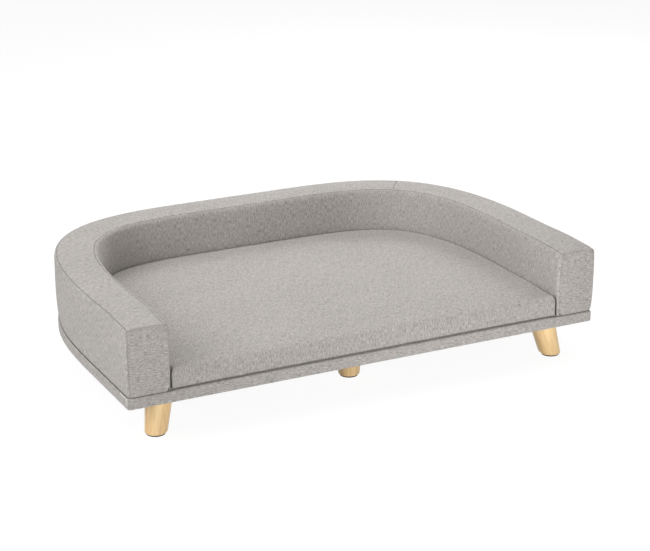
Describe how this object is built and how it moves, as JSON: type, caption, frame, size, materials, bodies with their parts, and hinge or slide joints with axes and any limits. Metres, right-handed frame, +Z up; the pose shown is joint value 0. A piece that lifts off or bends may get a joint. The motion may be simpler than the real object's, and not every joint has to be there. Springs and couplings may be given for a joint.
{
  "type": "dog sofa bed",
  "caption": "Low upholstered dog sofa bed: a D-shaped base on splayed round legs, a U-shaped padded bolster round three sides and a loose flat cushion.",
  "frame": {"origin": "centre of the base's outline, on the floor under the feet", "axes": "+Z up, +Y from the open front to the back of the bolster, +X to the right of someone who looks at the front"},
  "size_m": [1, 0.655, 0.2313],
  "materials": {
    "fabric": "light warm-grey woven linen-look upholstery",
    "foam": "open-cell polyurethane foam",
    "dust_cloth": "black non-woven dust cloth",
    "felt": "dark pressed felt",
    "plywood": "raw plywood",
    "hardboard": "raw hardboard",
    "leg_wood": "pale rubberwood, clear satin lacquer",
    "steel": "zinc-plated steel",
    "zip_tape": "woven polyester tape",
    "zip_teeth": "moulded polyester coil"
  },
  "bodies": {
    "sofa": {"base_board": "plywood", "base_pad": "foam", "base_edge_foam": "foam", "base_cover": "fabric", "base_dust_cloth": "dust_cloth", "leg_front_left": "leg_wood", "leg_front_right": "leg_wood", "leg_rear_left": "leg_wood", "leg_rear_right": "leg_wood", "leg_middle": "leg_wood", "foot_glides": "felt", "leg_plate_front_left": "steel", "leg_plate_front_right": "steel", "leg_plate_rear_left": "steel", "leg_plate_rear_right": "steel", "leg_plate_middle": "steel", "leg_plate_screws": "steel", "leg_bolts": "steel", "bottom_rail_left": "plywood", "bottom_rail_right": "plywood", "bottom_rail_back": "plywood", "top_rail_left": "plywood", "top_rail_right": "plywood", "top_rail_back": "plywood", "bolster_uprights": "plywood", "arm_end_board_left": "plywood", "arm_end_board_right": "plywood", "outer_skin_board": "hardboard", "inner_skin_board": "hardboard", "bolster_foam": "foam", "arm_end_pads": "foam", "bolster_outer_band": "fabric", "bolster_inner_band": "fabric", "bolster_top_strip": "fabric", "bolster_top_strip_right": "fabric", "arm_end_panel_left": "fabric", "arm_end_panel_right": "fabric", "bolster_bolts": "steel", "bolster_washers": "steel", "bolster_tee_nuts": "steel"},
    "cushion": {"cushion_foam": "foam", "cushion_cover": "fabric", "cushion_underside": "fabric", "zip_tapes": "zip_tape", "zip_teeth": "zip_teeth", "zip_end_stops": "steel"},
    "slider": {"zip_slider": "steel"}
  },
  "joints": [
    {"name": "cushion_lift", "type": "slide", "parent": "sofa", "child": "cushion", "axis": [0, 0, 1], "range_m": [0, 0.18]},
    {"name": "zip_slide", "type": "slide", "parent": "cushion", "child": "slider", "axis": [-1, 0, 0], "range_m": [0, 0.608]}
  ]
}
